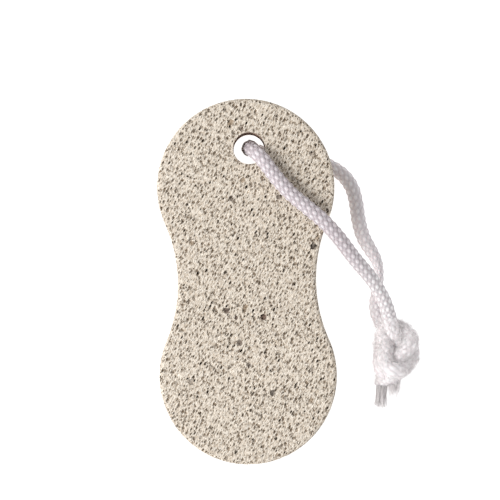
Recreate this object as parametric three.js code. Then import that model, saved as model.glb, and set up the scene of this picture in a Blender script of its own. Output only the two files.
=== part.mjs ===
// Pumice foot stone on a hanging cord, in millimetres, +Z up.
// The stone is a flat slab with the outline of an hourglass. It lies on its back face with its
// long axis on Y and the hole at the +Y end. A white cord goes through the hole, under the stone
// and over its face, and both ends are tied together in one knot at the stone's +X side.
// The origin is the middle of the stone's box, on the surface that the stone lies on.
import * as THREE from "three";

// The stone: two round lobes joined by a waist
const STONE_LENGTH = 105;
const STONE_THICKNESS = 15;
const LOBE_RADIUS = 25.5;
const WAIST_HALF_WIDTH = 19.9;
const EDGE_RADIUS = 1.3;
const HOLE_DIAMETER = 9;
const HOLE_CENTRE = [1.1, 38.2];
const OUTLINE_STEPS = 18;
const EDGE_STEPS = 3;

// How it lies: the cord under the head lifts that end, and the side where it comes out a little more
const HEAD_LIFT_DEG = 2.5;
const SIDE_LIFT_DEG = 0.7;

// The cord, with the knot that joins its ends and the two short tails below the knot
const CORD_DIAMETER = 3.6;
const CORD_SIDES = 8;
const CORD_STEPS = 78;
const KNOT_SIZE = [13, 17.2, 12.4];
const KNOT_END_SHARE = 0.62;
const KNOT_CENTRE = [43.2, -20.4];
const KNOT_SIDES = 24;
const KNOT_RINGS = 10;
const FLOOR_TO_CORD = CORD_DIAMETER / 2;

const LOBE_Y = STONE_LENGTH / 2 - LOBE_RADIUS;
// The waist's arcs touch both lobes, so their radius follows from the other sizes.
const WAIST_RADIUS =
  (WAIST_HALF_WIDTH ** 2 + LOBE_Y ** 2 - LOBE_RADIUS ** 2) / (2 * (LOBE_RADIUS - WAIST_HALF_WIDTH));

// The middle line of the cord, from the knot over the face, down the hole and under the stone back to
// the knot. Each point is [x, y, z].
const CORD_ROUTE = [
  [41.3, -10.8, 6.4],
  [40.6, -8.0, 6.8],
  [38.9, -4.2, 8.3],
  [35.4, 0.9, 11.6],
  [30.8, 6.1, 15.2],
  [26.4, 11.7, 18.4],
  [22.0, 16.5, 20.3],
  [17.4, 20.5, 20.7],
  [12.4, 24.8, 20.8],
  [8.2, 29.7, 20.9],
  [4.9, 34.2, 21.0],
  [3.1, 36.2, 20.3],
  [1.9, 37.6, 17.7],
  [1.3, 38.5, 14.2],
  [1.1, 38.9, 11.4],
  [0.9, 38.9, 8.8],
  [1.1, 38.8, 5.3],
  [3.3, 38.3, 2.7],
  [6.9, 37.7, FLOOR_TO_CORD],
  [12.0, 36.7, FLOOR_TO_CORD],
  [17.0, 36.0, FLOOR_TO_CORD],
  [22.0, 34.9, FLOOR_TO_CORD],
  [26.3, 32.9, FLOOR_TO_CORD],
  [29.4, 30.4, FLOOR_TO_CORD],
  [31.5, 26.9, FLOOR_TO_CORD],
  [32.5, 22.6, FLOOR_TO_CORD],
  [33.1, 17.8, FLOOR_TO_CORD],
  [34.3, 13.0, FLOOR_TO_CORD],
  [36.3, 9.2, FLOOR_TO_CORD],
  [38.2, 5.8, FLOOR_TO_CORD],
  [38.9, 1.8, FLOOR_TO_CORD],
  [38.4, -2.4, FLOOR_TO_CORD],
  [37.8, -6.6, 1.9],
  [38.4, -10.8, 2.6],
];
const LONG_TAIL = [
  [39.6, -29.7, 2.7],
  [38.8, -37.2, FLOOR_TO_CORD],
];
const SHORT_TAIL = [
  [44.0, -29.7, 2.7],
  [44.3, -33.5, FLOOR_TO_CORD],
];

const pumice = new THREE.MeshStandardMaterial({ color: 0xccbfaf, roughness: 0.95, metalness: 0 });
const whiteCord = new THREE.MeshStandardMaterial({ color: 0xe6e1e2, roughness: 0.6, metalness: 0 });

// Both lobes and both waists as arcs, then the hole
function stoneOutline() {
  const waistX = WAIST_HALF_WIDTH + WAIST_RADIUS;
  const touch = Math.atan2(LOBE_Y, waistX);
  const outline = new THREE.Shape();
  outline.absarc(0, LOBE_Y, LOBE_RADIUS, -touch, Math.PI + touch, false);
  outline.absarc(-waistX, 0, WAIST_RADIUS, touch, -touch, true);
  outline.absarc(0, -LOBE_Y, LOBE_RADIUS, Math.PI - touch, 2 * Math.PI + touch, false);
  outline.absarc(waistX, 0, WAIST_RADIUS, Math.PI + touch, Math.PI - touch, true);
  const hole = new THREE.Path();
  hole.absarc(...HOLE_CENTRE, HOLE_DIAMETER / 2, 0, 2 * Math.PI, true);
  outline.holes.push(hole);
  return outline;
}

function stoneMesh() {
  const geometry = new THREE.ExtrudeGeometry(stoneOutline(), {
    depth: STONE_THICKNESS - 2 * EDGE_RADIUS,
    curveSegments: OUTLINE_STEPS,
    bevelThickness: EDGE_RADIUS,
    bevelSize: EDGE_RADIUS,
    bevelOffset: -EDGE_RADIUS,
    bevelSegments: EDGE_STEPS,
  });
  geometry.rotateX(THREE.MathUtils.degToRad(HEAD_LIFT_DEG));
  geometry.rotateY(-THREE.MathUtils.degToRad(SIDE_LIFT_DEG));
  geometry.computeBoundingBox();
  const { min, max } = geometry.boundingBox;
  const mesh = new THREE.Mesh(geometry, pumice);
  mesh.position.set(-(min.x + max.x) / 2, -(min.y + max.y) / 2, -min.z);
  mesh.name = "stone";
  return mesh;
}

// A round cord along the points, with a regular polygon for its section
function cordMesh(name, points, steps) {
  const corners = Array.from({ length: CORD_SIDES }, (_, i) => {
    const turn = (2 * Math.PI * i) / CORD_SIDES;
    return new THREE.Vector2(Math.cos(turn), Math.sin(turn)).multiplyScalar(CORD_DIAMETER / 2);
  });
  const path = new THREE.CatmullRomCurve3(points.map((point) => new THREE.Vector3(...point)));
  const geometry = new THREE.ExtrudeGeometry(new THREE.Shape(corners), { steps, extrudePath: path });
  const mesh = new THREE.Mesh(geometry, whiteCord);
  mesh.name = name;
  return mesh;
}

// The knot as one rounded lump along Y, with flat ends where the cord goes in and the tails come out
function knotMesh() {
  const lastTurn = Math.acos(KNOT_END_SHARE);
  const profile = Array.from({ length: KNOT_RINGS + 1 }, (_, i) => {
    const turn = (2 * i / KNOT_RINGS - 1) * lastTurn;
    return new THREE.Vector2(Math.cos(turn) / 2, Math.sin(turn) / Math.sin(lastTurn) / 2);
  });
  const lump = [new THREE.Vector2(0, -0.5), ...profile, new THREE.Vector2(0, 0.5)];
  const mesh = new THREE.Mesh(new THREE.LatheGeometry(lump, KNOT_SIDES), whiteCord);
  mesh.scale.set(...KNOT_SIZE);
  mesh.position.set(...KNOT_CENTRE, KNOT_SIZE[2] / 2);
  mesh.name = "knot";
  return mesh;
}

const pumiceStone = new THREE.Group();
pumiceStone.add(
  stoneMesh(),
  cordMesh("cord", CORD_ROUTE, CORD_STEPS),
  knotMesh(),
  cordMesh("long_tail", LONG_TAIL, 1),
  cordMesh("short_tail", SHORT_TAIL, 1),
);

export default pumiceStone;
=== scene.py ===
# %% [markdown]
# A pumice stone for the feet, with a white braided cord through the hole in its head.
# This file is a lesson in cells: each step says what the piece is on the real object, how it could be
# made, and why it is made this way. Lengths are written in millimetres and turned into metres by MM.
#
# The frame is the plain model of the same object at its real size. It is loaded first, because every
# finer piece made here has to lie in the same place.

# %% load the frame
import math

import bmesh
import bpy
import numpy as np
from mathutils import Matrix, Vector


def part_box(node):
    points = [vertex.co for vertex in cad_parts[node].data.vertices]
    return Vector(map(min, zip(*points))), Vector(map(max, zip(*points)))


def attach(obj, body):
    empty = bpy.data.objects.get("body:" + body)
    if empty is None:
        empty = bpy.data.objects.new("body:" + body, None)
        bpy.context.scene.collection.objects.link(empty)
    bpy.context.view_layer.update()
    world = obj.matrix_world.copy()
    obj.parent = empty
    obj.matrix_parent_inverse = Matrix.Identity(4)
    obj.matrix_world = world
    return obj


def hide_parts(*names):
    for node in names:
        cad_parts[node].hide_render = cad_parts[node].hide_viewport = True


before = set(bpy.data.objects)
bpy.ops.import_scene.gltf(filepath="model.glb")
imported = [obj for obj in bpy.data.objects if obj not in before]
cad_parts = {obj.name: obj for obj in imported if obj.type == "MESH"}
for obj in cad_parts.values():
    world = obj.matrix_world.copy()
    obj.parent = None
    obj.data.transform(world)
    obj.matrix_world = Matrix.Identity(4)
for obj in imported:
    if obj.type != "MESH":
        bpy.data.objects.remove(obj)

MM = 0.001


def in_mm(vector, digits=1):
    return [round(c / MM, digits) for c in vector]


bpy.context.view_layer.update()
bpy.ops.object.select_all(action="DESELECT")

# %% [markdown]
# The stone lies on its back face. The cord runs under its head, so the head is lifted a little, and the
# side where the cord comes out is lifted a touch more. One rotation holds both tilts. Its third column
# is the way that the upper face looks, and the camera and the light are placed from it.

# %% how the stone lies
HEAD_LIFT_DEG = 2.5
SIDE_LIFT_DEG = 0.7
side_lift = Matrix.Rotation(-math.radians(SIDE_LIFT_DEG), 3, "Y")
lie = side_lift @ Matrix.Rotation(math.radians(HEAD_LIFT_DEG), 3, "X")
face_up = lie @ Vector((0, 0, 1))
print("the upper face looks along", [round(c, 4) for c in face_up])

# %% [markdown]
# The camera looks straight down on the upper face. It is kept 600 mm away behind a long lens, so that
# the stone's sides hardly show. The frame is a little wider than the stone is long.

# %% camera
CAMERA_DISTANCE = 600 * MM
FRAME_WIDTH = 143 * MM
SENSOR = 36
CAMERA_ROLL_DEG = -0.75
face_middle = Vector((0.9, 8.7, 17.66)) * MM


def new_object(name, data):
    """An object with this data, linked into the scene."""
    made = bpy.data.objects.new(name, data)
    bpy.context.scene.collection.objects.link(made)
    return made


camera_data = bpy.data.cameras.new("camera")
camera_data.sensor_width = SENSOR
camera_data.lens = SENSOR * CAMERA_DISTANCE / FRAME_WIDTH
camera_data.clip_start = 10 * MM
camera = new_object("camera", camera_data)
camera.matrix_world = (
    Matrix.Translation(face_middle + face_up * CAMERA_DISTANCE)
    @ lie.to_4x4()
    @ Matrix.Rotation(math.radians(CAMERA_ROLL_DEG), 4, "Z")
)
bpy.context.scene.camera = camera
print("lens", round(camera_data.lens, 1), "mm")

# %% [markdown]
# The table is one plain sheet of white acrylic with lamps under it: it glows a little, so the shadow
# beside the stone stays pale and the hole looks bright. Light comes from all around, as in a white light
# tent, and one window on the left gives the relief its direction. It is wide for its distance, which
# makes soft shadows.

# %% table, tent and window
TENT_STRENGTH = 0.56
WINDOW_SIZE = 360 * MM
WINDOW_WATTS = 4.9
TABLE_COLOUR = (0.42, 0.42, 0.42, 1)
TABLE_GLOW = 0.9
WINDOW_PLACE = Vector((-520, -160, 520)) * MM
WHITE = (1, 1, 1, 1)


def fill(node, **values):
    """Sets inputs of a node. A space in an input's name is written as an underscore."""
    for name, value in values.items():
        node.inputs[name.replace("_", " ")].default_value = value


def new_finish(name, **values):
    """A new material, its node tree and its main shader, which gets these values."""
    finish = bpy.data.materials.new(name)
    finish.use_nodes = True
    shader = finish.node_tree.nodes["Principled BSDF"]
    fill(shader, **values)
    return finish, finish.node_tree, shader


bpy.ops.mesh.primitive_plane_add(size=6)
table = bpy.context.object
table.name = "table"
table_finish = new_finish("table_finish", Base_Color=TABLE_COLOUR, Emission_Color=WHITE,
                          Emission_Strength=TABLE_GLOW, Roughness=0.5)[0]
table.data.materials.append(table_finish)

tent = bpy.data.worlds.new("tent")
tent.use_nodes = True
fill(tent.node_tree.nodes["Background"], Color=WHITE, Strength=TENT_STRENGTH)
bpy.context.scene.world = tent
bpy.context.scene.view_settings.view_transform = "Standard"

window_data = bpy.data.lights.new("window", "AREA")
window_data.shape = "SQUARE"
window_data.size = WINDOW_SIZE
window_data.energy = WINDOW_WATTS
window = new_object("window", window_data)
window.matrix_world = Matrix.Translation(WINDOW_PLACE) @ (
    (WINDOW_PLACE - face_middle).to_track_quat("Z", "Y").to_matrix().to_4x4()
)
bpy.ops.object.select_all(action="DESELECT")
print("window", round((WINDOW_PLACE - face_middle).length / MM), "mm away")

# %% [markdown]
# The cord is one length of soft white braid. It goes through the hole and both ends are tied in one
# knot, so it is a loop with two short tails. Its route is listed point by point: from the knot over the
# face, through the hole, under the stone's head and back along the table. The simple model has the same
# points. Between them runs a smooth curve, worked out by the Catmull-Rom rule and cut into even steps,
# because rings an even step apart make an even braid.

# %% the cord's route
FLAT_Z = 1.8
CORD_ROUTE = [
    (41.3, -10.8, 6.4), (40.6, -8.0, 6.8), (38.9, -4.2, 8.3), (35.4, 0.9, 11.6), (30.8, 6.1, 15.2),
    (26.4, 11.7, 18.4), (22.0, 16.5, 20.3), (17.4, 20.5, 20.7), (12.4, 24.8, 20.8), (8.2, 29.7, 20.9),
    (4.9, 34.2, 21.0), (3.1, 36.2, 20.3), (1.9, 37.6, 17.7), (1.3, 38.5, 14.2), (1.1, 38.9, 11.4),
    (0.9, 38.9, 8.8), (1.1, 38.8, 5.3), (3.3, 38.3, 2.7), (6.9, 37.7, FLAT_Z), (12.0, 36.7, FLAT_Z),
    (17.0, 36.0, FLAT_Z), (22.0, 34.9, FLAT_Z), (26.3, 32.9, FLAT_Z), (29.4, 30.4, FLAT_Z),
    (31.5, 26.9, FLAT_Z), (32.5, 22.6, FLAT_Z), (33.1, 17.8, FLAT_Z), (34.3, 13.0, FLAT_Z),
    (36.3, 9.2, FLAT_Z), (38.2, 5.8, FLAT_Z), (38.9, 1.8, FLAT_Z), (38.4, -2.4, FLAT_Z),
    (37.8, -6.6, 1.9), (38.4, -10.8, 2.6),
]
MIDDLE_OF_HOLE = 14


def even(line, step):
    """The same line with points an even step apart."""
    along = np.r_[0, np.cumsum(np.linalg.norm(np.diff(line, axis=0), axis=1))]
    at = np.linspace(0, along[-1], max(2, round(along[-1] / step) + 1))
    return np.stack([np.interp(at, along, line[:, k]) for k in range(3)], axis=1)


def smooth(points, step, between=14):
    """A Catmull-Rom curve through the points, cut into even steps."""
    p = np.asarray(points, float)
    p = np.vstack([2 * p[0] - p[1], p, 2 * p[-1] - p[-2]])
    t = np.linspace(0, 1, between, endpoint=False)[:, None]
    spans = [
        b + (c - a) * t / 2 + (2 * a - 5 * b + 4 * c - d) * t**2 / 2
        + (3 * b - a - 3 * c + d) * t**3 / 2
        for a, b, c, d in zip(p, p[1:], p[2:], p[3:])
    ]
    return even(np.vstack([*spans, p[-2:-1]]), step)


def long_of(line):
    return float(np.linalg.norm(np.diff(line, axis=0), axis=1).sum())


print("the loop is", round(long_of(smooth(CORD_ROUTE, 0.5)), 1), "mm from knot to knot")

# %% [markdown]
# The knot is an overhand knot tied in both ends at once: two strands lie side by side and go round and
# through themselves together. Drawing that by hand never looks tight. Here it is tied as in life. Two
# strands start in the open shape of a trefoil, which has the right crossings, and then the ends are
# pulled, while three rules are kept: a strand's steps keep their length, strands don't go through each
# other, and the two strands stay side by side. A thousand rounds of small corrections pull it tight.

# %% tie the knot
STRAND_IN_KNOT = 3.0
TREFOIL_SIZE = (2.8, 2.4, 0.8)
TREFOIL_REACH = 2.2
TREFOIL_POINTS = 600
FIRST_SIDE = (0, -0.82, 0.57)
START_APART = 0.55
SIDE_TURN = 0.6
KNOT_NODES = 84
KNOT_PULLS = 1100
PULL = 0.12
CENTRING = 0.01
STIFF = 0.2
STRETCH = 1.04
SIDE_BY_SIDE = 1.1
SAME_STRETCH = 1.25
CORRECTION = 0.25


def lengths_of(vectors):
    """The vectors' lengths, as a column."""
    return np.linalg.norm(vectors, axis=1)[:, None]


def transported(line, first):
    """For each point of a line its direction and two sideways directions that never spin round it."""
    ahead = np.gradient(line, axis=0)
    ahead /= lengths_of(ahead)
    side = [np.asarray(first, float)]
    for direction in ahead:
        turned = side[-1] - direction * (side[-1] @ direction)
        side.append(turned / np.linalg.norm(turned))
    side = np.array(side[1:])
    return ahead, side, np.cross(ahead, side)


def resting(count, line):
    """A line cut into that many nodes."""
    return even(line, long_of(line) / (count - 1))[:count]


def tie(thick, count, pulls):
    """Two strands of nodes, pulled tight into one overhand knot about the Z axis."""
    t = np.linspace(-TREFOIL_REACH, TREFOIL_REACH, 5 * TREFOIL_POINTS)
    open_knot = np.stack([t**3 - 3 * t, t**4 - 4 * t**2, 10 * t - t**5], axis=1) * TREFOIL_SIZE
    open_knot = resting(TREFOIL_POINTS, open_knot)
    _, side, other = transported(open_knot, FIRST_SIDE)
    turn = np.linspace(-SIDE_TURN, SIDE_TURN, TREFOIL_POINTS)[:, None]
    beside = (side * np.cos(turn) + other * np.sin(turn)) * thick * START_APART
    node = np.vstack([resting(count, open_knot + beside), resting(count, open_knot - beside)])
    rest = np.linalg.norm(np.diff(node, axis=0), axis=1)[: count - 1].mean()
    strand = np.repeat([0, 1], count)
    number = np.arange(2 * count)
    apart = np.abs(number[:, None] - number[None]) * rest
    neighbours = (strand[:, None] == strand[None]) & (apart < SAME_STRETCH * thick)
    ends = np.array([0, count - 1, count, 2 * count - 1])
    free = np.ones((2 * count, 1))
    free[ends] = 0
    goal = np.array([[0.5, 0], [0.5, 0], [-0.5, 0], [-0.5, 0]]) * thick
    outward = np.sign(node[ends, 2])
    start = np.r_[np.arange(count - 1), np.arange(count, 2 * count - 1)]
    inner = np.r_[np.arange(1, count - 1), np.arange(count + 1, 2 * count - 1)]
    for _ in range(pulls):
        if np.linalg.norm(node[start + 1] - node[start], axis=1).mean() < STRETCH * rest:
            node[ends, 2] += outward * PULL
        node[ends, :2] += (goal - node[ends, :2]) * CENTRING
        for half in (0, 1):
            a = start[half::2]
            step = node[a + 1] - node[a]
            long = lengths_of(step)
            share = (long - rest) / long * step / np.maximum(free[a] + free[a + 1], 1e-9)
            node[a] += share * free[a]
            node[a + 1] -= share * free[a + 1]
        node[inner] += STIFF * ((node[inner - 1] + node[inner + 1]) / 2 - node[inner])
        across = node[count:] - node[:count]
        wide = lengths_of(across)
        too_wide = np.where(wide > SIDE_BY_SIDE * thick, (wide - SIDE_BY_SIDE * thick) / wide, 0)
        node[:count] += too_wide * across * CORRECTION * free[:count]
        node[count:] -= too_wide * across * CORRECTION * free[count:]
        away = node[:, None] - node[None]
        far = np.sqrt((away**2).sum(-1)) + 1e-9
        push = np.where((far < thick) & ~neighbours, (thick - far) / far, 0) * CORRECTION
        node += (away * push[..., None]).sum(1) * free
    return node[:count], node[count:]


upper_strand, lower_strand = tie(STRAND_IN_KNOT, KNOT_NODES, KNOT_PULLS)
print("strand in the knot", round(long_of(upper_strand), 1), "mm of", KNOT_NODES, "nodes")

# %% [markdown]
# The tied knot stands along Z, and it has to lie along Y in the box that the simple model keeps for it.
# It is fitted to that box side by side, and narrowed above and below its widest place, where the strands
# go in and the tails come out. The straight ends of the strands are cut off, and the route and the tails
# take their place.

# %% lay the knot down
KNOT_HALF_LENGTH = 9.0
WIDEST_Y = -20.5
NARROW_END = 0.5
NARROW_TOP = 0.56
TURNED = 0.6


def box_in_mm(name):
    """The low and the high corner of a node of the simple model."""
    return [np.array(c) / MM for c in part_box(name)]


def fit_knot(strands, thick):
    """The part of each strand that is in the knot, moved and scaled so that the knot fills its box."""
    # the knot's own X goes up, its Z along the table's Y and its Y across
    laid = [np.stack([-s[:, 1], s[:, 2], s[:, 0]], axis=1) for s in strands]
    inside = [s[np.abs(s[:, 1]) < KNOT_HALF_LENGTH] for s in laid]
    low = np.min([s.min(0) for s in inside], axis=0) - thick / 2
    high = np.max([s.max(0) for s in inside], axis=0) + thick / 2
    steps = [np.gradient(s, axis=0) for s in inside]
    turned = np.concatenate([s[np.abs(g[:, 1]) < TURNED * np.linalg.norm(g, axis=1), 1]
                             for s, g in zip(inside, steps)])
    low[1], high[1] = turned.min() - thick / 2, turned.max() + thick / 2
    corner, top = box_in_mm("knot")
    fitted = [corner + (s - low) / (high - low) * (top - corner) for s in inside]
    for line in fitted:
        down = np.clip((WIDEST_Y - line[:, 1]) / (WIDEST_Y - corner[1]), 0, 1)
        up = np.clip((line[:, 1] - WIDEST_Y) / (top[1] - WIDEST_Y), 0, 1)
        narrowed = 1 - (1 - NARROW_END) * down - (1 - NARROW_TOP) * up
        line[:, 0] = (line[:, 0] - corner[0]) * narrowed
    right = max(line[:, 0].max() for line in fitted) + thick / 2
    for line in fitted:
        line[:, 0] = corner[0] + line[:, 0] * (top - corner)[0] / right
    print("knot in its own size", (high - low).round(1), "mm, box", (top - corner).round(1))
    return fitted


in_knot = fit_knot((upper_strand, lower_strand), STRAND_IN_KNOT)
print("knot nodes kept:", [len(s) for s in in_knot])

# %% [markdown]
# Now each strand becomes one line, from the middle of the hole to the place where its braid ends. The
# front strand goes over the face and the back one under the head, and each takes its own way through the
# knot. Where route, knot and tail meet there are kinks, which a cord this thick can't have, so every
# point becomes a weighted mean of its neighbours.

# %% whole lines of the two strands
RING_STEP = 0.2
EASE = 0.9
KNOT_ROOM = 1.0
LONG_BRAID_END = [(39.3, -29.2, 2.9), (39.0, -30.8, 2.6)]
SHORT_BRAID_END = [(42.1, -28.6, 3.0), (42.2, -29.8, 2.7)]


def eased(line, reach):
    """Takes out kinks by weighted means, and leaves the ends where they are."""
    width = math.ceil(3 * reach / RING_STEP)
    weight = np.exp(-0.5 * (np.arange(-width, width + 1) * RING_STEP / reach) ** 2)
    padded = np.vstack([line[:1].repeat(width, 0) * 2 - line[width:0:-1], line,
                        line[-1:].repeat(width, 0) * 2 - line[-2:-width - 2:-1]])
    weight /= weight.sum()
    return np.stack([np.convolve(padded[:, k], weight, "valid") for k in range(3)], axis=1)


def whole_line(route, nodes, braid_end):
    """One even line along the route, the part of the nodes well inside the knot's box, and the end."""
    low, high = box_in_mm("knot")
    nodes = nodes[(nodes[:, 1] < high[1] - KNOT_ROOM) & (nodes[:, 1] > low[1] + KNOT_ROOM)]
    return even(eased(smooth([*route, *nodes, *braid_end], RING_STEP), EASE), RING_STEP)


front_line = whole_line(CORD_ROUTE[MIDDLE_OF_HOLE::-1], in_knot[0], LONG_BRAID_END)
back_line = whole_line(CORD_ROUTE[MIDDLE_OF_HOLE:], in_knot[1], SHORT_BRAID_END)
for side_name, line in (("front", front_line), ("back", back_line)):
    print(side_name, "strand", round(long_of(line), 1), "mm")

# %% [markdown]
# The braid has sixteen yarns, eight winding each way, and each passes over and under the yarns that it
# meets. It could be a bump pattern on a smooth tube, but a real cord's outline is knobbly, so the yarns
# are made in the mesh. The two families of yarns are counted off as two slanting coordinates. A yarn is
# highest in the middle of its width and half-way between two crossings, where it lies on top, and the
# higher of the two families shows. A soft braid lies flatter than it is wide, so its section is oval.

# %% braid
CORD_WIDTH = 3.9
CORD_THICKNESS = 3.3
YARNS_EACH_WAY = 8
BRAID_PITCH = 16.8
RISE = 0.15
LEAD = 0.1
YARN_ROUND = 0.36
YARN_FALL = 3.2
SIDES = 96


def braid_relief(turn, along):
    """How far the braid stands out at an angle and a length, and whether the first family is on top."""
    one = (turn / (2 * math.pi) - along / BRAID_PITCH) * YARNS_EACH_WAY
    two = (turn / (2 * math.pi) + along / BRAID_PITCH) * YARNS_EACH_WAY
    over = []
    for sign, own, met in ((1, one, two), (-1, two, one)):
        wave = np.cos(math.pi * (met - np.round(own)))
        back = np.sqrt(1 - YARN_FALL * (own - np.round(own)) ** 2) - 1
        over.append(sign * RISE * wave + YARN_ROUND * back)
    over[0] += LEAD
    return np.maximum(*over), over[0] > over[1]


turn_grid, along_grid = np.meshgrid(np.linspace(0, 2 * math.pi, 200), np.linspace(0, BRAID_PITCH, 400))
relief_sample = braid_relief(turn_grid, along_grid)[0]
RELIEF_LOW, RELIEF_HIGH = relief_sample.min(), relief_sample.max()
print("braid relief from", round(RELIEF_LOW, 2), "to", round(RELIEF_HIGH, 2), "mm")

# %% [markdown]
# A strand is a tube of rings along its line, each an oval pushed out by the braid's relief. A cord lies
# on its flat side, so the section is turned, a little at each step, until the thin way of the oval
# points up, and what would be below the table is pressed flat on it. The mesh gets two maps: "Braid"
# counts turns round the cord and pitches along it, and "OFBake" lays the skin out in three strips.

# %% make a strand
BAKE_STRIPS = 3
BAKE_MARGIN = 0.012
END_CAPS_AT = (0.1, 0.4)
PRESSED = 0.3
LEVEL_SLOPE = 0.45
TURN_REACH = 4.0


def lying_flat(line, ahead, side, other):
    """Turns the sideways directions until the first points up or down wherever the line runs level."""
    angle = np.unwrap(np.arctan2(other[:, 2], side[:, 2]) * 2) / 2
    level = np.flatnonzero(np.abs(ahead[:, 2]) < LEVEL_SLOPE)
    start = angle[level[0]]
    start -= math.pi * round(start / math.pi)
    at = np.arange(len(line))
    wanted = np.interp(at, np.r_[0, level], np.r_[0, angle[level] - angle[level[0]] + start])
    wanted = eased(np.stack([wanted, at, at], axis=1), TURN_REACH)[:, 0]
    wanted *= np.clip(at * RING_STEP / TURN_REACH, 0, 1)
    c, s = np.cos(wanted)[:, None], np.sin(wanted)[:, None]
    return side * c + other * s, other * c - side * s


def new_piece(name, points, faces, finish):
    """A mesh piece from points in millimetres, riding on the frame's one body."""
    mesh = bpy.data.meshes.new(name)
    mesh.from_pydata((np.asarray(points) * MM).tolist(), [], faces)
    mesh.materials.append(finish)
    mesh.polygons.foreach_set("use_smooth", np.ones(len(mesh.polygons), bool))
    piece = new_object(name, mesh)
    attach(piece, "root")
    return piece


def add_map(mesh, name, uv):
    mesh.uv_layers.new(name=name).data.foreach_set("uv", uv.astype(np.float32).ravel())


def add_values(mesh, **labelled):
    """Stores one value per point under each label, for the material."""
    for label, values in labelled.items():
        layer = mesh.attributes.new(label, "FLOAT", "POINT")
        layer.data.foreach_set("value", np.asarray(values, np.float32).ravel())


def round_about(count):
    """Angles an even step apart, once round."""
    return np.arange(count) * 2 * math.pi / count


def triangles_in(mesh):
    return sum(len(p.vertices) - 2 for p in mesh.polygons)


def add_strand_maps(mesh, length, rings, ring_of_face, column):
    """The "Braid" map and the "OFBake" map of a tube of rings with a cap at each end."""
    u = np.stack([column, column + 1, column + 1, column], axis=1) / SIDES
    v = np.stack([ring_of_face, ring_of_face, ring_of_face + 1, ring_of_face + 1], axis=1) / (rings - 1)
    strip = np.minimum(ring_of_face * BAKE_STRIPS // (rings - 1), BAKE_STRIPS - 1)[:, None]
    braid_uv = np.stack([u, v * length / BRAID_PITCH], axis=2).reshape(-1, 2)
    bake_u = (strip + BAKE_MARGIN + u * (1 - 2 * BAKE_MARGIN)) / BAKE_STRIPS
    bake_v = BAKE_MARGIN + (v * BAKE_STRIPS - strip) * (1 - 4 * BAKE_MARGIN)
    bake_uv = np.stack([bake_u, bake_v], axis=2).reshape(-1, 2)
    angle = round_about(SIDES)
    disc = np.stack([np.cos(angle), np.sin(angle)], axis=1) * BAKE_MARGIN / 3
    first_cap, last_cap = (disc[::-1] + (place, 1 - BAKE_MARGIN) for place in END_CAPS_AT)
    add_map(mesh, "Braid", np.vstack([braid_uv, np.zeros((2 * SIDES, 2))]))
    add_map(mesh, "OFBake", np.vstack([bake_uv, first_cap, last_cap[::-1]]))


def strand(name, line, first, width, thickness, darker_share, rubbed, finish):
    """A braided strand along a line; first is the way that its thin side looks at the start."""
    ahead, side, other = transported(line, first)
    side, other = lying_flat(line, ahead, side, other)
    rings = len(line)
    along = np.arange(rings)[:, None] * long_of(line) / (rings - 1)
    turn = round_about(SIDES)[None]
    relief, one_on_top = braid_relief(turn, along)
    c, s = np.cos(turn)[..., None], np.sin(turn)[..., None]
    half_t, half_w = thickness[:, None, None] / 2, width[:, None, None] / 2
    across = side[:, None] * c * half_t + other[:, None] * s * half_w
    outward = side[:, None] * c * half_w + other[:, None] * s * half_t
    outward /= np.linalg.norm(outward, axis=2, keepdims=True)
    points = line[:, None] + across + outward * relief[..., None]
    low = points[..., 2] < PRESSED
    points[..., 2][low] = PRESSED * np.exp((points[..., 2][low] - PRESSED) / PRESSED)
    ring_of_face = np.repeat(np.arange(rings - 1), SIDES)
    column = np.tile(np.arange(SIDES), rings - 1)
    here, beside = ring_of_face * SIDES + column, ring_of_face * SIDES + (column + 1) % SIDES
    quads = np.stack([here, beside, beside + SIDES, here + SIDES], axis=1)
    caps = [list(range(SIDES))[::-1], list(range((rings - 1) * SIDES, rings * SIDES))]
    piece = new_piece(name, points.reshape(-1, 3), quads.tolist() + caps, finish)
    add_strand_maps(piece.data, long_of(line), rings, ring_of_face, column)
    # The "dust" value is a darker, pinker tint: over the stone on the front strand, and painted shade
    # along the back strand.
    add_values(piece.data, relief=(relief - RELIEF_LOW) / (RELIEF_HIGH - RELIEF_LOW),
               one_on_top=one_on_top, dust=np.repeat(darker_share, SIDES), rubbed=np.repeat(rubbed, SIDES))
    print(name, "triangles", triangles_in(piece.data))
    return piece, (side[-1], other[-1])


# %% [markdown]
# White polyester braid is bright and a little silky. The stitches of one family of yarns are painted
# brighter, as painted highlights on a duller ground, and the dips between yarns get painted shade, darker
# and pinker. Each yarn is a bundle of fine threads, so a fine streaky bump runs along it, and the gaps
# between the threads get a little painted shade. The streaks follow the yarn on top, by two slanting
# coordinates worked out from the "Braid" map.
# Two more values say where the colour is flattened to a pale one and where it is tinted darker and
# pinker. In the knot the pale colour stands for fluffed yarns, on the back strand both are painted shade,
# and on the front strand the tint lies over the stone.
# The helpers of this cell add one node, or a few, to the tree that is being made, which is always called
# tree, and give back its output. So a material reads like a sum.

# %% finish of the cord
# The stitch colour is a painted highlight, the dip colour painted shade in the dips between yarns, and
# the colour between threads painted shade in the gaps between them.
STITCH_HIGHLIGHT = (0.95, 0.93, 0.935)
GROUND_COLOUR = (0.67, 0.63, 0.645)
DIP_SHADE = (0.61, 0.545, 0.565)
PALE_FLAT_COLOUR = (0.93, 0.89, 0.902, 1)
FLATTEN_SHARE = 0.7
DARKER_PINKER = (0.82, 0.78, 0.8)
SHADE_BETWEEN_THREADS = (0.9, 0.89, 0.895)
PLAIN = (1, 1, 1)
UNLIT_GAIN = 1.06
STREAKS_ACROSS = 90.0
STREAKS_ALONG = 9.0


def link_up(kind, *inputs, out=0, **settings):
    """Adds a node with these inputs, outputs of other nodes or plain values, and gives its output."""
    made = tree.nodes.new(kind)
    for key, value in settings.items():
        setattr(made, key, value)
    for socket, value in zip(made.inputs, inputs):
        join(value, socket)
    return made.outputs[out]


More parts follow.
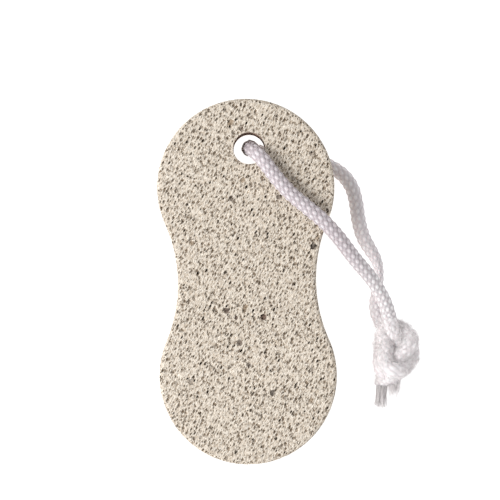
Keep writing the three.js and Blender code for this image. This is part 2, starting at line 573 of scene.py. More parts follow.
def join(value, socket):
    """Links an output to an input, or gives the input a plain value, or leaves it as it is."""
    if isinstance(value, bpy.types.NodeSocket):
        tree.links.new(value, socket)
    elif value is not None:
        socket.default_value = value


def maths(kind, a, b=0.0, c=0.0):
    return link_up("ShaderNodeMath", a, b, c, operation=kind)


def stored(label, out=2):
    """A value stored on the mesh; output 2 is a number and output 1 a vector."""
    return link_up("ShaderNodeAttribute", attribute_name=label, out=out)


def parts_of(vector):
    return link_up("ShaderNodeSeparateXYZ", vector).node.outputs


def noise(place, scale=1, detail=2):
    """The grey of a cloudy texture."""
    made = link_up("ShaderNodeTexNoise", place).node
    fill(made, Scale=scale, Detail=detail)
    return made.outputs[0]


def ramp(factor, *stops):
    """A colour ramp with stops of (place, colour)."""
    made = link_up("ShaderNodeValToRGB", factor).node
    line = made.color_ramp.elements
    while len(line) < len(stops):
        line.new(0.5)
    for element, (place, colour) in zip(line, stops):
        element.position = place
        element.color = (*colour, 1)
    return made.outputs[0]


def blend_colours(factor, a, b, kind="MIX"):
    """A mix of two colours, which are the seventh and the eighth input of the node."""
    return link_up("ShaderNodeMix", factor, *[None] * 5, a, b, out=2, data_type="RGBA", blend_type=kind)


def add_bump(shader, height, strength, distance):
    bump = tree.nodes.new("ShaderNodeBump")
    fill(bump, Strength=strength, Distance=distance)
    tree.links.new(height, bump.inputs["Height"])
    tree.links.new(bump.outputs[0], shader.inputs["Normal"])


white_braid, tree, shader = new_finish(
    "white_braid", Roughness=0.48, Sheen_Weight=0.15, Sheen_Roughness=0.4, Subsurface_Weight=0.35,
    Subsurface_Radius=(1.0, 0.85, 0.85), Subsurface_Scale=0.8 * MM)
turns, pitches, _ = parts_of(link_up("ShaderNodeUVMap", uv_map="Braid"))
one_way, other_way = maths("SUBTRACT", turns, pitches), maths("ADD", turns, pitches)
on_top, relief = stored("one_on_top"), stored("relief")


def streaks(fine, coarse):
    """Streaks that run along one family of yarns."""
    across, along = maths("MULTIPLY", fine, STREAKS_ACROSS), maths("MULTIPLY", coarse, STREAKS_ALONG)
    return noise(link_up("ShaderNodeCombineXYZ", across, along))


threads = link_up("ShaderNodeMix", on_top, None,
                  streaks(other_way, one_way), streaks(one_way, other_way))
# The family on top gets painted highlights on its stitches, and both families get painted shade in their
# dips.
lit = ramp(relief, (0.0, DIP_SHADE), (0.5, GROUND_COLOUR), (0.88, STITCH_HIGHLIGHT))
unlit = ramp(relief, (0.0, DIP_SHADE), (0.4, GROUND_COLOUR),
             (1.0, tuple(UNLIT_GAIN * c for c in GROUND_COLOUR)))
colour = blend_colours(on_top, unlit, lit)
# A stored share pulls the colour towards a flat pale one: in the knot for its fluffed yarns, and on the
# back strand as painted shade, which takes the painted highlights off its stitches.
rubbed = maths("MULTIPLY", stored("rubbed"), FLATTEN_SHARE)
colour = blend_colours(rubbed, colour, PALE_FLAT_COLOUR)
# The stored "dust" value tints the colour darker and pinker, which on the back strand is painted shade;
# the thread streaks add painted shade between threads.
for shade in (ramp(stored("dust"), (0.0, PLAIN), (1.0, DARKER_PINKER)),
              ramp(threads, (0.3, SHADE_BETWEEN_THREADS), (0.65, PLAIN))):
    colour = blend_colours(1.0, colour, shade, "MULTIPLY")
tree.links.new(colour, shader.inputs["Base Color"])
add_bump(shader, threads, 0.5, 0.05 * MM)
print("cord finish nodes:", len(tree.nodes))

# %% [markdown]
# The two strands are the same cord. Where it is pulled round in the knot its yarns spread, so it is
# thicker there. Beside the stone the back strand turns on edge, and looks narrow for a few millimetres.
# The front strand is tinted darker over the stone. The back strand gets painted shade: it is tinted
# darker and pinker, and its stitches are flattened with no painted highlight.

# %% the two strands
IN_KNOT_WIDTH = 4.5
IN_KNOT_THICKNESS = 3.9
KNOT_SOFT_EDGE = 2.5
PINCH = 1.5
PINCH_PLACE = (38.3, 1.5, 1.8)
PINCH_REACH = 6.0
# The back strand's colour is flattened to a pale one as painted shade, so its stitches get no painted
# highlight.
BACK_FLATTENED = 0.65
# The back strand is tinted darker and pinker as painted shade, and the front strand is tinted darker over
# the stone.
BACK_SHADE = 0.3
DARKER_FROM_Y = -2
DARKER_REACH = 12
THIN_SIDE = (-0.7, 0.7, 0)


def in_knot_share(line):
    """1 inside the knot's box, 0 outside it, with a soft step between."""
    low, high = box_in_mm("knot")
    deep = np.minimum(line - low, high - line)[:, 1]
    return np.clip(deep / KNOT_SOFT_EDGE + 0.5, 0, 1)


def strand_sizes(line):
    """Width and thickness of the cord along a line: swollen in the knot, and pinched at one place."""
    share = in_knot_share(line)
    off_pinch = np.linalg.norm(line - PINCH_PLACE, axis=1) / PINCH_REACH
    return (CORD_WIDTH + (IN_KNOT_WIDTH - CORD_WIDTH) * share - PINCH * np.exp(-off_pinch**2),
            CORD_THICKNESS + (IN_KNOT_THICKNESS - CORD_THICKNESS) * share)


front_strand, front_end = strand(
    "front_strand", front_line, THIN_SIDE, *strand_sizes(front_line),
    np.clip((front_line[:, 1] - DARKER_FROM_Y) / DARKER_REACH, 0, 1), in_knot_share(front_line),
    white_braid)
back_strand, back_end = strand(
    "back_strand", back_line, THIN_SIDE, *strand_sizes(back_line),
    np.full(len(back_line), BACK_SHADE), np.maximum(in_knot_share(back_line), BACK_FLATTENED),
    white_braid)

# %% [markdown]
# Below the knot each yarn opens into fine threads, so the tails are loose brushes. Hair particles are
# lost when a model is shared, so each thread is a thin three-sided tube, and all of a tail's are one
# mesh. The threads of one yarn bend together, and each has a small wave of its own. They start a little
# inside the braid, so nothing shows a gap.

# %% frayed ends
THREAD_THICKNESS = 0.14
THREAD_RINGS = 9
THIN_TIP = 0.6
LOWEST_Z = 0.02
DRAWN_OUT = (2600, 500, 2600)
YARN_SPREAD = 0.16
CLOSING = 0.18
THREAD_WAVE = 0.09
WAVE_TURNS = (5, 11)
INNERMOST = 0.1
RESTING_SHARE = 0.6
PILE_HEIGHT = 0.25
PILE_WAVE = 7
THREAD_SPREAD = 0.45
loose_threads, tree, shader = new_finish("loose_threads", Roughness=0.42, Sheen_Weight=0.1)
object_place = link_up("ShaderNodeTexCoord", out=3)
streaky = noise(link_up("ShaderNodeVectorMath", object_place, DRAWN_OUT, operation="MULTIPLY"))
tree.links.new(ramp(streaky, (0.35, (0.92, 0.87, 0.87)), (0.6, (1, 0.97, 0.97))),
               shader.inputs["Base Color"])


def threads_mesh(name, line, side, other, thick):
    """Thin three-sided tubes along lines of points, as one mesh."""
    threads, rings = line.shape[:2]
    corner = round_about(3)[None, :, None]
    ring = side[:, None] * np.cos(corner) + other[:, None] * np.sin(corner)
    thin = np.linspace(1, THIN_TIP, rings)[None, :, None, None]
    points = (line[:, :, None] + ring[:, None] * thin * thick / 2).reshape(-1, 3)
    points[:, 2] = np.maximum(points[:, 2], LOWEST_Z)
    foot = np.arange(threads)[:, None] * rings
    first = (foot + np.arange(rings - 1)).ravel()[:, None] * 3
    faces = [first + np.array([k, (k + 1) % 3, 3 + (k + 1) % 3, 3 + k]) for k in range(3)]
    foot_cap = foot * 3 + np.array([2, 1, 0])
    tip_cap = (foot + rings - 1) * 3 + np.arange(3)
    faces = [face for some in (np.concatenate(faces), foot_cap, tip_cap) for face in some.tolist()]
    print(name, "threads", threads, "faces", len(faces))
    return new_piece(name, points, faces, loose_threads)


def fray(name, start, end_frame, tip, section, lengths, threads, spread, seed):
    """A brush of threads from a braid's end towards a tip; section is its half width and thickness."""
    chance = np.random.default_rng(seed)
    side, other = end_frame
    start, tip = np.array(start), np.array(tip)
    towards = (tip - start) / np.linalg.norm(tip - start)
    yarn = chance.integers(0, 2 * YARNS_EACH_WAY, threads)
    yarn_turn = (np.arange(2 * YARNS_EACH_WAY) + 0.5) * math.pi / YARNS_EACH_WAY
    turn = yarn_turn[yarn] + chance.normal(0, YARN_SPREAD, threads)
    out = np.sqrt(chance.uniform(INNERMOST, 1, threads))
    foot = side * (np.cos(turn) * out * section[1])[:, None]
    foot += other * (np.sin(turn) * out * section[0])[:, None]
    yarn_bend = chance.normal(0, spread, (2 * YARNS_EACH_WAY, 3))
    long = chance.uniform(*lengths, threads) * np.linalg.norm(tip - start)
    t = np.linspace(0, 1, THREAD_RINGS)[None, :, None]
    own_bend = chance.normal(0, spread * THREAD_SPREAD, (threads, 3))
    bend = (yarn_bend[yarn] + own_bend)[:, None] * t**2
    wave = chance.normal(0, THREAD_WAVE, (threads, 1, 3))
    wave = wave * np.sin(t * chance.uniform(*WAVE_TURNS, (threads, 1, 1)))
    line = start + foot[:, None] * (1 - CLOSING * t) + towards * long[:, None, None] * t + bend + wave
    pile = PILE_HEIGHT * np.abs(np.sin(PILE_WAVE * line[..., 0]))
    line[..., 2] = np.maximum(line[..., 2], THREAD_THICKNESS * RESTING_SHARE + pile)
    side, other = (way.reshape(1, 3).repeat(threads, 0) for way in (side, other))
    return threads_mesh(name, line, side, other, THREAD_THICKNESS)


long_fray = fray("long_fray", start=(39.1, -30.0, 2.7), end_frame=front_end, tip=(38.35, -37.3, 1.8),
                 section=(1.7, 1.4), lengths=(0.8, 1.03), threads=220, spread=0.42, seed=3)
short_fray = fray("short_fray", start=(42.6, -28.8, 2.9), end_frame=back_end, tip=(42.0, -33.9, 1.8),
                  section=(2.3, 1.4), lengths=(0.45, 1.0), threads=260, spread=0.8, seed=8)

# %% [markdown]
# Pulling the knot tight has broken threads on its yarns, so it is fluffy. Each loose thread starts at a
# point of the braid, rises a little off it and lies over sideways in a bow. The points are drawn by
# chance from those in the knot's box that don't look down at the table.

# %% fluff on the knot
FLUFF_THREADS = 3800
FLUFF_THICKNESS = 0.12
FLUFF_RINGS = 6
FLUFF_RISE = (0.15, 0.75)
FLUFF_REACH = (0.6, 2.0)
FLUFF_STRAY = 0.14
BOW_TURNS = (1.7, 3.0)
ROOT_DEPTH = 0.06
LOOKS_DOWN = -0.2


def values_of(data, name, width=1, kind=np.float32):
    """One number, or a few, for every item of a mesh's data."""
    values = np.zeros(len(data) * width, kind)
    data.foreach_get(name, values)
    return values.reshape(-1, width) if width > 1 else values


def fluff(name, strands, threads, seed):
    """Short threads that stand off the yarns inside the knot's box."""
    chance = np.random.default_rng(seed)
    low, high = (np.array(c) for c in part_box("knot"))
    roots, away = [], []
    for piece in strands:
        place = values_of(piece.data.vertices, "co", 3)
        looks = np.array([n.vector for n in piece.data.vertex_normals])
        inside = ((place > low) & (place < high)).all(1) & (looks[:, 2] > LOOKS_DOWN)
        roots.append(place[inside] / MM)
        away.append(looks[inside])
    roots, away = np.concatenate(roots), np.concatenate(away)
    picked = chance.choice(len(roots), threads, replace=False)
    root, out = roots[picked], away[picked]
    sideways = np.cross(out, chance.normal(0, 1, (threads, 3)))
    sideways /= lengths_of(sideways)
    rise, reach = chance.uniform(*FLUFF_RISE, threads), chance.uniform(*FLUFF_REACH, threads)
    t = np.linspace(0, 1, FLUFF_RINGS)[None, :, None]
    bow = np.sin(t * chance.uniform(*BOW_TURNS, (threads, 1, 1)))
    line = root[:, None] + out[:, None] * (rise[:, None, None] * bow - ROOT_DEPTH)
    stray = chance.normal(0, FLUFF_STRAY, (threads, 1, 3)) * t**2
    line += sideways[:, None] * reach[:, None, None] * t + stray
    return threads_mesh(name, line, np.cross(out, sideways), out, FLUFF_THICKNESS)


knot_fluff = fluff("knot_fluff", (front_strand, back_strand), FLUFF_THREADS, 5)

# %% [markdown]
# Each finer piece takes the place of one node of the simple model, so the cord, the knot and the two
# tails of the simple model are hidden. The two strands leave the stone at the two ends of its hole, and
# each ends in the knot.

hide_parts("cord")
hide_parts("knot")
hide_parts("long_tail")
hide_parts("short_tail")

# %% [markdown]
# The stone is sawn from a block of pumice as a flat slab, cut to an hourglass shape and drilled. Its
# outline is two round heads joined by a waist of two hollow arcs that touch the heads smoothly, so three
# radii say all of it. The slab starts as a filled ring in edit mode. Its points are placed on the arcs,
# it is extruded to its thickness, and its rims are bevelled, because the saw's sharp edges were rubbed
# off. A drill rod and a Boolean modifier make the hole, as the workshop would.

# %% saw out the slab
STONE_LENGTH = 105
STONE_THICKNESS = 15
HEAD_RADIUS = 25.5
WAIST_HALF_WIDTH = 19.9
RIM_RADIUS = 1.3
RIM_SEGMENTS = 4
HOLE_DIAMETER = 9
HOLE_SIDES = 96
HOLE_PLACE = (1.1, 38.2)
OUTLINE_POINTS = 240
OUTLINE_STEP = 0.05

head_y = STONE_LENGTH / 2 - HEAD_RADIUS
waist_radius = (WAIST_HALF_WIDTH**2 + head_y**2 - HEAD_RADIUS**2) / 2 / (HEAD_RADIUS - WAIST_HALF_WIDTH)
waist_x = WAIST_HALF_WIDTH + waist_radius
touch = math.atan2(head_y, waist_x)


def arc(cx, cy, radius, start, end, count=200):
    """Points on a level arc about a centre."""
    angle = np.linspace(start, end, count)
    return np.stack([cx + radius * np.cos(angle), cy + radius * np.sin(angle), 0 * angle], axis=1)


outline = even(np.vstack([
    arc(0, head_y, HEAD_RADIUS, -touch, math.pi + touch),
    arc(-waist_x, 0, waist_radius, touch, -touch)[1:-1],
    arc(0, -head_y, HEAD_RADIUS, math.pi - touch, 2 * math.pi + touch),
    arc(waist_x, 0, waist_radius, math.pi + touch, math.pi - touch)[1:],
]), OUTLINE_STEP)
outline_length = long_of(outline)
outline_ring = even(outline, outline_length / OUTLINE_POINTS)[:OUTLINE_POINTS]

bpy.ops.mesh.primitive_circle_add(vertices=OUTLINE_POINTS, radius=HEAD_RADIUS * MM, fill_type="NGON")
stone = bpy.context.object
stone.name = stone.data.name = "pumice_block"
bpy.ops.object.mode_set(mode="EDIT")
edit = bmesh.from_edit_mesh(stone.data)
for vertex, place in zip(edit.verts, outline_ring):
    vertex.co = Vector(place) * MM
bmesh.update_edit_mesh(stone.data)
bpy.ops.mesh.select_all(action="SELECT")
bpy.ops.mesh.extrude_region_move(TRANSFORM_OT_translate={"value": (0, 0, STONE_THICKNESS * MM)})
bpy.ops.mesh.select_all(action="SELECT")
bpy.ops.mesh.normals_make_consistent(inside=False)
bpy.ops.mesh.select_mode(type="EDGE")
bpy.ops.mesh.select_all(action="DESELECT")
edit = bmesh.from_edit_mesh(stone.data)
for edge in edit.edges:
    edge.select_set(edge.verts[0].co.z == edge.verts[1].co.z)
bmesh.update_edit_mesh(stone.data)
bpy.ops.mesh.bevel(offset=RIM_RADIUS * MM, segments=RIM_SEGMENTS)
bpy.ops.object.mode_set(mode="OBJECT")

bpy.ops.mesh.primitive_cylinder_add(vertices=HOLE_SIDES, radius=HOLE_DIAMETER / 2 * MM,
                                    depth=3 * STONE_THICKNESS * MM,
                                    location=(HOLE_PLACE[0] * MM, HOLE_PLACE[1] * MM, 0))
drill = bpy.context.object
drill.name = "drill"
bpy.ops.object.select_all(action="DESELECT")


def apply_to_stone(kind, **settings):
    """Gives the stone a modifier with these settings and applies it."""
    added = stone.modifiers.new(kind.lower(), kind)
    for key, value in settings.items():
        setattr(added, key, value)
    bpy.context.view_layer.objects.active = stone
    bpy.ops.object.modifier_apply(modifier=added.name)


apply_to_stone("BOOLEAN", operation="DIFFERENCE", object=drill)
bpy.data.objects.remove(drill)
print("slab faces", len(stone.data.polygons), "outline", round(outline_length, 1), "mm round")

# %% [markdown]
# A surface that is to be pitted needs many small, even faces. The voxel remesh gives them. It rounds the
# rim of the hole a little too, as years of wet cord would.

# %% even faces
VOXEL = 0.2
apply_to_stone("REMESH", mode="VOXEL", voxel_size=VOXEL * MM)
print("even faces", len(stone.data.polygons))

# %% [markdown]
# A few pits are bigger than the froth, where a grain has fallen out, and are made darker grey; some are
# browner, where iron has stained the stone. The drilled wall gets painted shade, a reddish brown. Each
# pit is a bowl pressed into the even faces, and two values at every point say how much darker grey it is
# made and how much rust and painted shade it has.

# %% odd pits, stains and painted shade in the hole
ODD_PITS = [  # x, y, radius, depth, darkening, rust
    (19.2, 9.9, 0.9, 0.8, 1.0, 0.0), (4.6, -10.2, 0.9, 0.8, 0.8, 0.8),
    (-5.9, -8.2, 0.8, 0.7, 0.75, 0.5), (-3.2, -10.3, 0.5, 0.6, 0.9, 0.6),
    (-2.3, -17.4, 0.8, 0.6, 0.8, 0.2), (0.3, -23.7, 0.7, 0.5, 0.7, 0.1),
    (6.9, -31.9, 0.75, 0.8, 0.9, 0.0), (-16.5, -28.5, 0.7, 0.5, 0.5, 0.1),
    (18.4, -25.3, 0.7, 0.5, 0.5, 0.0), (18.9, 36.5, 0.65, 0.5, 0.5, 0.1),
    (-4.1, 23.9, 0.75, 0.5, 0.65, 0.2), (9.4, 24.1, 0.7, 0.5, 0.75, 0.1),
    (13.5, 29.3, 0.7, 0.5, 0.5, 0.0), (-1.1, 43.9, 0.7, 0.6, 0.5, 0.3),
]
FACE_BAND = 0.5
STAIN_SPREAD = 1.6
HOLE_WALL_SHADE = 0.85
WALL_EDGE = (0.35, 0.3)
WALL_TOP = (0.1, 0.4)

slab = values_of(stone.data.vertices, "co", 3) / MM
grime, rust = np.zeros(len(slab)), np.zeros(len(slab))
on_face = slab[:, 2] > STONE_THICKNESS - FACE_BAND
for x, y, radius, pit_depth, pit_grime, pit_rust in ODD_PITS:
    off = np.hypot(*(slab[:, :2] - (x, y)).T) / radius
    bowl = np.where(on_face, np.sqrt(np.clip(1 - off**2, 0, 1)), 0)
    slab[:, 2] -= bowl * pit_depth
    stained = np.minimum(bowl * STAIN_SPREAD, 1)
    grime, rust = np.maximum(grime, pit_grime * stained), np.maximum(rust, pit_rust * stained)
# The wall of the hole gets painted shade, a reddish brown stored with the rust.
from_hole = np.hypot(*(slab[:, :2] - HOLE_PLACE).T) - HOLE_DIAMETER / 2
hole_shade = np.clip((WALL_EDGE[0] - from_hole) / WALL_EDGE[1], 0, 1)
hole_shade *= np.clip((STONE_THICKNESS - WALL_TOP[0] - slab[:, 2]) / WALL_TOP[1], 0, 1)
rust = np.maximum(rust, HOLE_WALL_SHADE * hole_shade)
stone.data.vertices.foreach_set("co", (slab * MM).astype(np.float32).ravel())
add_values(stone.data, grime=grime, rust=rust)
print("odd pits", len(ODD_PITS), "points with rust", int((rust > 0.1).sum()))

# %% [markdown]
# Pumice is frozen froth. The saw cuts through thousands of gas bubbles at any height, so the cut circles
# differ in size even where the bubbles don't. The pores are made the same way. A Voronoi texture gives
# each small cell of space one bubble centre and some random numbers. A sphere about that centre is cut by
# the surface, and the surface sinks to the sphere's far wall. The sums are those of a ray against a
# sphere: d is a point seen from the centre and n the way the surface looks, and the point sinks by t,
# where |d - t n| is the radius.
# Four sizes are laid over each other: small and common pores, rarer deep ones that look almost black,
# and wide shallow pits. The cells of the first three are such that the upper face runs through the
# middle of a layer of cells, where most bubbles are cut. Geometry Nodes does this for every point at
# once, and stores the depth and the places from before for the material. The froth had flowed before it
# set, so space is squeezed along a slant, and the bubbles come out long that way.

# %% bubbles
FLOW_DEG = 33
FLOW_STRETCH = 2.3
BUBBLES = {  # size of a cell, smallest and largest radius, share of the cells, and how much deeper
    "small": (0.612, 0.145, 0.235, 1.0, 1.5),
    "common": (0.909, 0.235, 0.345, 0.9, 1.2),
    "deep": (1.579, 0.17, 0.27, 1.0, 4.2),
    "wide": (4.6, 0.45, 0.7, 0.6, 0.5),
}
EVENNESS = 0.86
# The next value keeps the stone's painted highlight rims to the flanks of the bubbles.
HIGHLIGHT_FLANK_EASE = 0.3
GRAIN_SCALE = 1.6
GRAIN_DEPTH = 0.09


def vector_of(kind, a, b=None, out=0):
    return link_up("ShaderNodeVectorMath", a, b, operation=kind, out=out)


def dot(a, b):
    return vector_of("DOT_PRODUCT", a, b, out=1)


def times(a, b):
    return maths("MULTIPLY", a, b)


def in_flow(vector, cell):
    """A vector in millimetres, turned along the flow, squeezed and counted in cells."""
    turned = link_up("ShaderNodeVectorRotate", vector, (0, 0, 0), (0, 0, 1), math.radians(FLOW_DEG))
    return vector_of("MULTIPLY", turned, (1 / cell, 1 / cell / FLOW_STRETCH, 1 / cell))


def bubble_cut(place, looks, cell, small, large, share, deeper):
    """How deep the surface sinks at a place, and how far outside the bubble's flanks it is, in mm."""
    p, n = in_flow(place, cell), in_flow(looks, cell)
    froth = link_up("ShaderNodeTexVoronoi", p).node
    fill(froth, Scale=1, Randomness=EVENNESS)
    for_size, for_share, _ = parts_of(froth.outputs["Color"])
    radius = maths("MULTIPLY_ADD", for_size, (large - small) / cell, small / cell)
    d = vector_of("SUBTRACT", p, froth.outputs["Position"])
    a, b = dot(n, n), dot(d, n)
    c = maths("SUBTRACT", dot(d, d), times(radius, radius))
    root = maths("SUBTRACT", times(b, b), times(a, c))
    root = maths("POWER", maths("MAXIMUM", root, 0.0), 0.5)
    t = maths("DIVIDE", maths("ADD", b, root), a)
    cut_open = times(maths("LESS_THAN", c, 0.0), maths("LESS_THAN", for_share, share))
    far = vector_of("LENGTH", d, out=1)
    outside = times(maths("SUBTRACT", far, radius), cell)
    flank = maths("DIVIDE", maths("ABSOLUTE", parts_of(d)[0]), far)
    # This keeps the painted highlight rims to the flanks across the flow.
    outside = maths("ADD", outside, maths("MULTIPLY_ADD", flank, -HIGHLIGHT_FLANK_EASE, HIGHLIGHT_FLANK_EASE))
    outside = maths("ADD", outside, maths("GREATER_THAN", for_share, share))
    return times(times(t, cut_open), deeper), outside


tree = bpy.data.node_groups.new("froth", "GeometryNodeTree")
for in_out in ("INPUT", "OUTPUT"):
    tree.interface.new_socket("Geometry", in_out=in_out, socket_type="NodeSocketGeometry")
go_out = tree.nodes.new("NodeGroupOutput")
place = vector_of("MULTIPLY", link_up("GeometryNodeInputPosition"), (1 / MM,) * 3)
looks = link_up("GeometryNodeInputNormal")
depth = 0.0
for size_name, bubble in BUBBLES.items():
    together = "ADD" if size_name == "wide" else "MAXIMUM"
    depth = maths(together, bubble_cut(place, looks, *bubble)[0], depth)
grain = noise(place, GRAIN_SCALE, 3)
sunk = maths("MULTIPLY_ADD", grain, GRAIN_DEPTH, depth)
shape = link_up("NodeGroupInput")
for label, kind, value in (("depth", "FLOAT", depth), ("sawn", "FLOAT_VECTOR", place),
                           ("looks", "FLOAT_VECTOR", looks)):
    shape = link_up("GeometryNodeStoreNamedAttribute", shape, None, label, value, data_type=kind)
shift = link_up("ShaderNodeVectorMath", looks, None, None, times(sunk, -MM), operation="SCALE")
join(link_up("GeometryNodeSetPosition", shape, None, None, shift), go_out.inputs[0])
apply_to_stone("NODES", node_group=tree)
depths = values_of(stone.data.attributes["depth"].data, "value")
print("pitted share", (depths > 0.05).mean().round(2), "deepest", depths.max().round(2), "mm")

# %% [markdown]
# The even faces were needed only while the pores were cut. Now those that lie nearly level with their
# neighbours are merged, so the piece is light enough to share. The upper face keeps the most. Along the
# border between the two parts nothing is merged, so rather more triangles are left than are wanted.

# %% fewer faces
FACE_TRIANGLES = 94_000
REST_TRIANGLES = 72_000
FACE_FROM = STONE_THICKNESS / 2 + 3


def thin_out(top_side, wanted):
    """Merges faces of the upper face, or of all the rest, down to about that many triangles."""
    polygons = stone.data.polygons
    chosen = (values_of(polygons, "center", 3)[:, 2] / MM > FACE_FROM) == top_side
    triangles = int((values_of(polygons, "loop_total", kind=np.int32) - 2)[chosen].sum())
    for domain in (stone.data.vertices, stone.data.edges):
        domain.foreach_set("select", np.zeros(len(domain), bool))
    polygons.foreach_set("select", chosen)
    bpy.ops.object.mode_set(mode="EDIT")
    bpy.ops.mesh.select_mode(type="FACE")
    bpy.ops.mesh.decimate(ratio=min(1.0, wanted / triangles))
    bpy.ops.object.mode_set(mode="OBJECT")
    print("upper face" if top_side else "the rest", triangles, "triangles, wanted", wanted)


thin_out(True, FACE_TRIANGLES)
thin_out(False, REST_TRIANGLES)
print("triangles", triangles_in(stone.data), sorted(stone.data.attributes.keys()))

# %% [markdown]
# When the model is shared, its colours are painted into one picture, and the "OFBake" map says where
# each face goes in it. The slab unrolls without folds: both faces from straight above, the side wall as
# three strips, and the wall of the hole as one. The places from before the pores sank are used, so that
# the steep walls of the pores still have some width.

# %% the stone's map
MAP_SIDE = 168
MAP_GAP = 1.5
FACE_ROOM = (52, 106)
STRIP_ROOM = 18
SIDE_STRIPS = 3
STRIP_INSET = 1
HOLE_BAND = 2
LEVEL = 0.7
AT_ONCE = 2000


def nearest_along(points, line, step):
    """For each point the length along the line of the nearest of its points."""
    nearest = [np.hypot(*(chunk[:, None] - line[None]).transpose(2, 0, 1)).argmin(1)
               for chunk in np.array_split(points, max(1, len(points) // AT_ONCE))]
    return np.concatenate(nearest) * step


corner_point = values_of(stone.data.loops, "vertex_index", kind=np.int32)
first_corner = values_of(stone.data.polygons, "loop_start", kind=np.int32)
corners_of_face = np.diff(np.r_[first_corner, len(corner_point)])
face_of_corner = np.repeat(np.arange(len(first_corner)), corners_of_face)


def stored_at_corners(label):
    """A vector stored at the points, for each face corner."""
    return values_of(stone.data.attributes[label].data, "vector", 3).astype(float)[corner_point]


def unrolled(length, round_length):
    """Lengths round a loop, with each face's corners kept on one side of the place where it closes."""
    start = length[first_corner][face_of_corner]
    return start + (length - start + round_length / 2) % round_length - round_length / 2


def of_face(values):
    """The mean of each face's corners, given back to its corners."""
    return (np.add.reduceat(values, first_corner) / corners_of_face)[face_of_corner]


corners = stored_at_corners("sawn")
across, along, high = corners.T
level = of_face(stored_at_corners("looks")[:, 2])
from_hole = of_face(np.hypot(across - HOLE_PLACE[0], along - HOLE_PLACE[1]))
in_hole = (np.abs(level) <= LEVEL) & (from_hole < HOLE_DIAMETER / 2 + HOLE_BAND)
on_side = (np.abs(level) <= LEVEL) & ~in_hole
back_side = level < -LEVEL
stone_uv = np.stack([across + FACE_ROOM[0] / 2, along + FACE_ROOM[1] / 2], axis=1) + MAP_GAP
stone_uv[back_side, 0] = (FACE_ROOM[0] / 2 - across + FACE_ROOM[0] + 2 * MAP_GAP)[back_side]

coarse = outline[::4, :2]
round_side = np.zeros(len(corners))
round_side[on_side] = nearest_along(corners[on_side][:, :2], coarse, outline_length / len(coarse))
round_side = unrolled(round_side, outline_length)
strip = np.clip(of_face(round_side) * SIDE_STRIPS // outline_length, 0, SIDE_STRIPS - 1)
strip_left = 2 * FACE_ROOM[0] + 3 * MAP_GAP + strip * (STRIP_ROOM + MAP_GAP)
in_strip = round_side - strip * outline_length / SIDE_STRIPS
side_uv = np.stack([strip_left + high + STRIP_INSET, in_strip + 2 * MAP_GAP], axis=1)
stone_uv[on_side] = side_uv[on_side]

half_round = math.pi * HOLE_DIAMETER / 2
round_hole = np.arctan2(along - HOLE_PLACE[1], across - HOLE_PLACE[0]) * HOLE_DIAMETER / 2
round_hole = unrolled(round_hole, 2 * half_round)
hole_uv = np.stack([round_hole + half_round, high + FACE_ROOM[1]], axis=1) + 3 * MAP_GAP
stone_uv[in_hole] = hole_uv[in_hole]
add_map(stone.data, "OFBake", stone_uv / MAP_SIDE)
print("map from", stone_uv.min(0).round(1), "to", stone_uv.max(0).round(1), "of", MAP_SIDE)

# %% [markdown]
# Until now the slab was level, because the sums are easier there. It is turned as it lies on the cord,
# and moved to where the simple model has it.

# %% lay the stone down
stone.data.transform(lie.to_4x4())
corners = np.array([v.co for v in stone.data.vertices])
low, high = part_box("stone")
slab_low, slab_high = Vector(corners.min(0)), Vector(corners.max(0))
move = (low + high) / 2 - (slab_low + slab_high) / 2
move.z = low.z - slab_low.z
stone.data.transform(Matrix.Translation(move))
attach(stone, "root")
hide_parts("stone")
print("stone box", in_mm(slab_high - slab_low, 2), "mm, the frame's", in_mm(high - low, 2))

# %% [markdown]
# Pumice is matt and pale: cream where it is flat. Down the walls of the pores the colour goes browner,
# partly the stone's own brown and partly painted shade, and the deep pores are painted nearly black, as
# painted shade where no light comes out. The flanks of the bubbles get painted highlights, bright rims
# that come and go with ridges along the flow. Two sizes of bubble that are too fine for the mesh are
# worked out here, and a bump gives them and the ridges their relief. A slow mottle and the stored
# tints are laid over it all: rust and darker grey in the odd pits, and painted shade on the wall of the
# hole.

# %% finish of the stone
FLAT_COLOUR = (0.525, 0.435, 0.338)
WALL_BROWN_AND_SHADE = (0.4, 0.309, 0.222)
PORE_SHADE = (0.125, 0.085, 0.052)
RIM_HIGHLIGHT = (1.0, 0.92, 0.81, 1)
DARK_TINTS = {"grime": (0.3, 0.285, 0.285, 1), "rust": (0.6, 0.44, 0.39, 1)}
HIGHLIGHT_REACH = 0.42
RIDGE_CELL = 0.5
RIDGE_HEIGHT = 0.5
PORE_HEIGHT = 0.8
WIDE_SHADE = 0.3
MOTTLE_SCALE = 1.7
FINE_BUBBLES = {
    "fine": (0.492, 0.12, 0.2, 1.0, 1.1),
    "dust": (0.36, 0.08, 0.14, 0.8, 1.2),
}

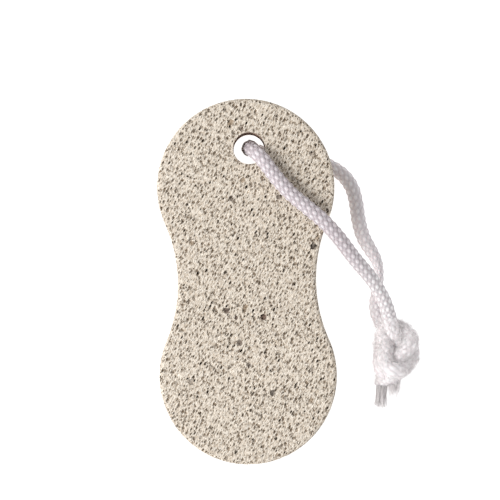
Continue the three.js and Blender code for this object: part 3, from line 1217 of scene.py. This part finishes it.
pumice, tree, shader = new_finish("pumice", Roughness=0.95, Specular_IOR_Level=0.25)
sawn, looks = stored("sawn", out=1), stored("looks", out=1)
how_deep, fine_depth, rim = 0.0, 0.0, 1.0
for size_name, bubble in {**FINE_BUBBLES, **BUBBLES}.items():
    sunk, outside = bubble_cut(sawn, looks, *bubble)
    if size_name == "wide":
        how_deep = maths("MULTIPLY_ADD", sunk, WIDE_SHADE, how_deep)
    else:
        how_deep = maths("MAXIMUM", sunk, how_deep)
    if size_name in FINE_BUBBLES:
        fine_depth = maths("MAXIMUM", sunk, fine_depth)
    rim = maths("MINIMUM", outside, rim)
ridges = noise(in_flow(sawn, RIDGE_CELL))
cloud = noise(sawn, MOTTLE_SCALE, 4)


def grey(level):
    return (level,) * 3


# Colour by depth: cream where flat, then the walls' own brown with painted shade, and painted shade in
# the deep pores.
shade = ramp(how_deep, (0.0, FLAT_COLOUR), (0.14, WALL_BROWN_AND_SHADE), (0.55, PORE_SHADE))
# Painted highlights near the rims, which come and go with the ridges.
rim_highlight = ramp(times(rim, 1 / HIGHLIGHT_REACH),
                (0.0, grey(0)), (0.08, grey(1)), (0.5, grey(0.6)), (1.0, grey(0)))
ridge_highlight = ramp(ridges, (0.37, grey(0.2)), (0.55, grey(1)))
shade = blend_colours(blend_colours(1.0, rim_highlight, ridge_highlight, "MULTIPLY"), shade, RIM_HIGHLIGHT)
mottle = ramp(cloud, (0.3, grey(0.93)), (0.7, grey(1.05)))
shade = blend_colours(1.0, shade, mottle, "MULTIPLY")
# The stored rust is real rust in the odd pits and painted shade on the wall of the hole; the other value
# makes the odd pits darker grey.
for label, tint in DARK_TINTS.items():
    shade = blend_colours(stored(label), shade, tint, "MULTIPLY")
tree.links.new(shade, shader.inputs["Base Color"])
sunk = maths("ADD", fine_depth, times(how_deep, PORE_HEIGHT))
add_bump(shader, maths("SUBTRACT", times(ridges, RIDGE_HEIGHT), sunk), 0.9, 1 * MM)
stone.data.materials.clear()
stone.data.materials.append(pumice)
stone.name = stone.data.name = "pumice_stone"
print("stone finish nodes:", len(tree.nodes))
